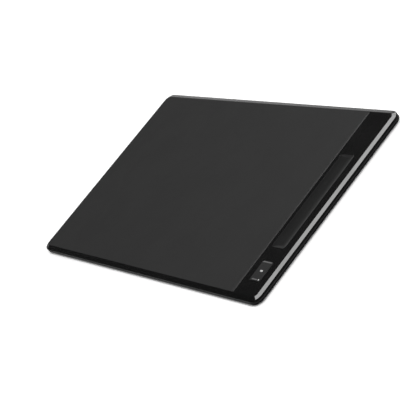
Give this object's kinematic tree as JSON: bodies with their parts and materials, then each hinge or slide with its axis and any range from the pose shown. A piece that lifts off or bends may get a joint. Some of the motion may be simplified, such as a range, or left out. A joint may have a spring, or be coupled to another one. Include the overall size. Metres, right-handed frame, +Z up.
{
  "type": "graphics tablet",
  "caption": "Thin flat pen tablet with a matt drawing sheet, a glossy side strip with a hollow pen rest, a tilting rocker key and a cable socket.",
  "frame": {"origin": "on the table, under the middle of the tablet's outline", "axes": "+Z up out of the drawing sheet, +X to the side with the strip and the rocker key, +Y to the back edge with the cable socket"},
  "size_m": [0.35, 0.202, 0.0084],
  "materials": {
    "gloss_shell": "glossy moulded plastic",
    "satin_shell": "fine-grained moulded plastic",
    "drawing_surface": "matt, paper-like grain",
    "adhesive": "translucent film",
    "soft_liner": "matt soft insert",
    "board_green": "glass-fibre board with solder mask",
    "steel_sheet": "rolled steel sheet",
    "foam": "closed-cell foam",
    "chip_black": "moulded epoxy",
    "connector_white": "moulded nylon",
    "connector_black": "moulded nylon",
    "ribbon": "polyester ribbon",
    "bright_steel": "tin-plated steel",
    "ceramic": "ceramic bodies",
    "light_white": "light-emitting diode",
    "plunger_grey": "moulded nylon",
    "key_grey": "satin moulded plastic",
    "pale_grey": "pale moulded inlay",
    "lens_white": "frosted light lens",
    "contact_gold": "plated contacts",
    "screw_black": "blackened steel",
    "foot_rubber": "soft rubber"
  },
  "bodies": {
    "housing": {"top_cover": "gloss_shell", "bottom_cover": "satin_shell", "drawing_sheet": "drawing_surface", "sheet_adhesive": "adhesive", "pen_rest_liner": "soft_liner", "sensor_board": "board_green", "shield_plate": "steel_sheet", "foam_layer": "foam", "analog_switches": "chip_black", "sensor_connector": "connector_white", "sensor_ribbon": "ribbon", "controller_board": "board_green", "microcontroller": "chip_black", "crystal": "bright_steel", "voltage_regulator": "chip_black", "small_components": "ceramic", "controller_connectors": "connector_white", "link_ribbon": "ribbon", "key_board": "board_green", "key_connector": "connector_white", "indicator_lights": "light_white", "switch_bodies": "connector_black", "socket_shell": "bright_steel", "socket_tongue": "connector_black", "socket_contacts": "contact_gold", "shell_screws": "screw_black", "board_screws": "bright_steel", "foot_front_left": "foot_rubber", "foot_front_middle": "foot_rubber", "foot_front_right": "foot_rubber", "foot_back_left": "foot_rubber", "foot_back_middle": "foot_rubber", "foot_back_right": "foot_rubber"},
    "rocker": {"rocker_key": "key_grey", "key_bars": "pale_grey", "centre_lens": "lens_white", "status_lens": "lens_white"},
    "far_switch": {"far_plunger": "plunger_grey"},
    "near_switch": {"near_plunger": "plunger_grey"}
  },
  "joints": [
    {"name": "rocker_tilt", "type": "hinge", "parent": "housing", "child": "rocker", "pos_m": [0.15645, -0.0728, 0.0059], "axis": [1, 0, 0], "range_deg": [-2.5, 2.5], "stiffness_Nm_per_rad": 0.05},
    {"name": "far_switch_press", "type": "slide", "parent": "housing", "child": "far_switch", "axis": [0, 0, 1], "range_m": [-0.00028, 0.00028]},
    {"name": "near_switch_press", "type": "slide", "parent": "housing", "child": "near_switch", "axis": [0, 0, 1], "range_m": [-0.00028, 0.00028]}
  ],
  "couplings": [
    {"joint": "far_switch_press", "follows": "rocker_tilt", "m_per_rad": 0.0064},
    {"joint": "near_switch_press", "follows": "rocker_tilt", "m_per_rad": -0.0064}
  ]
}
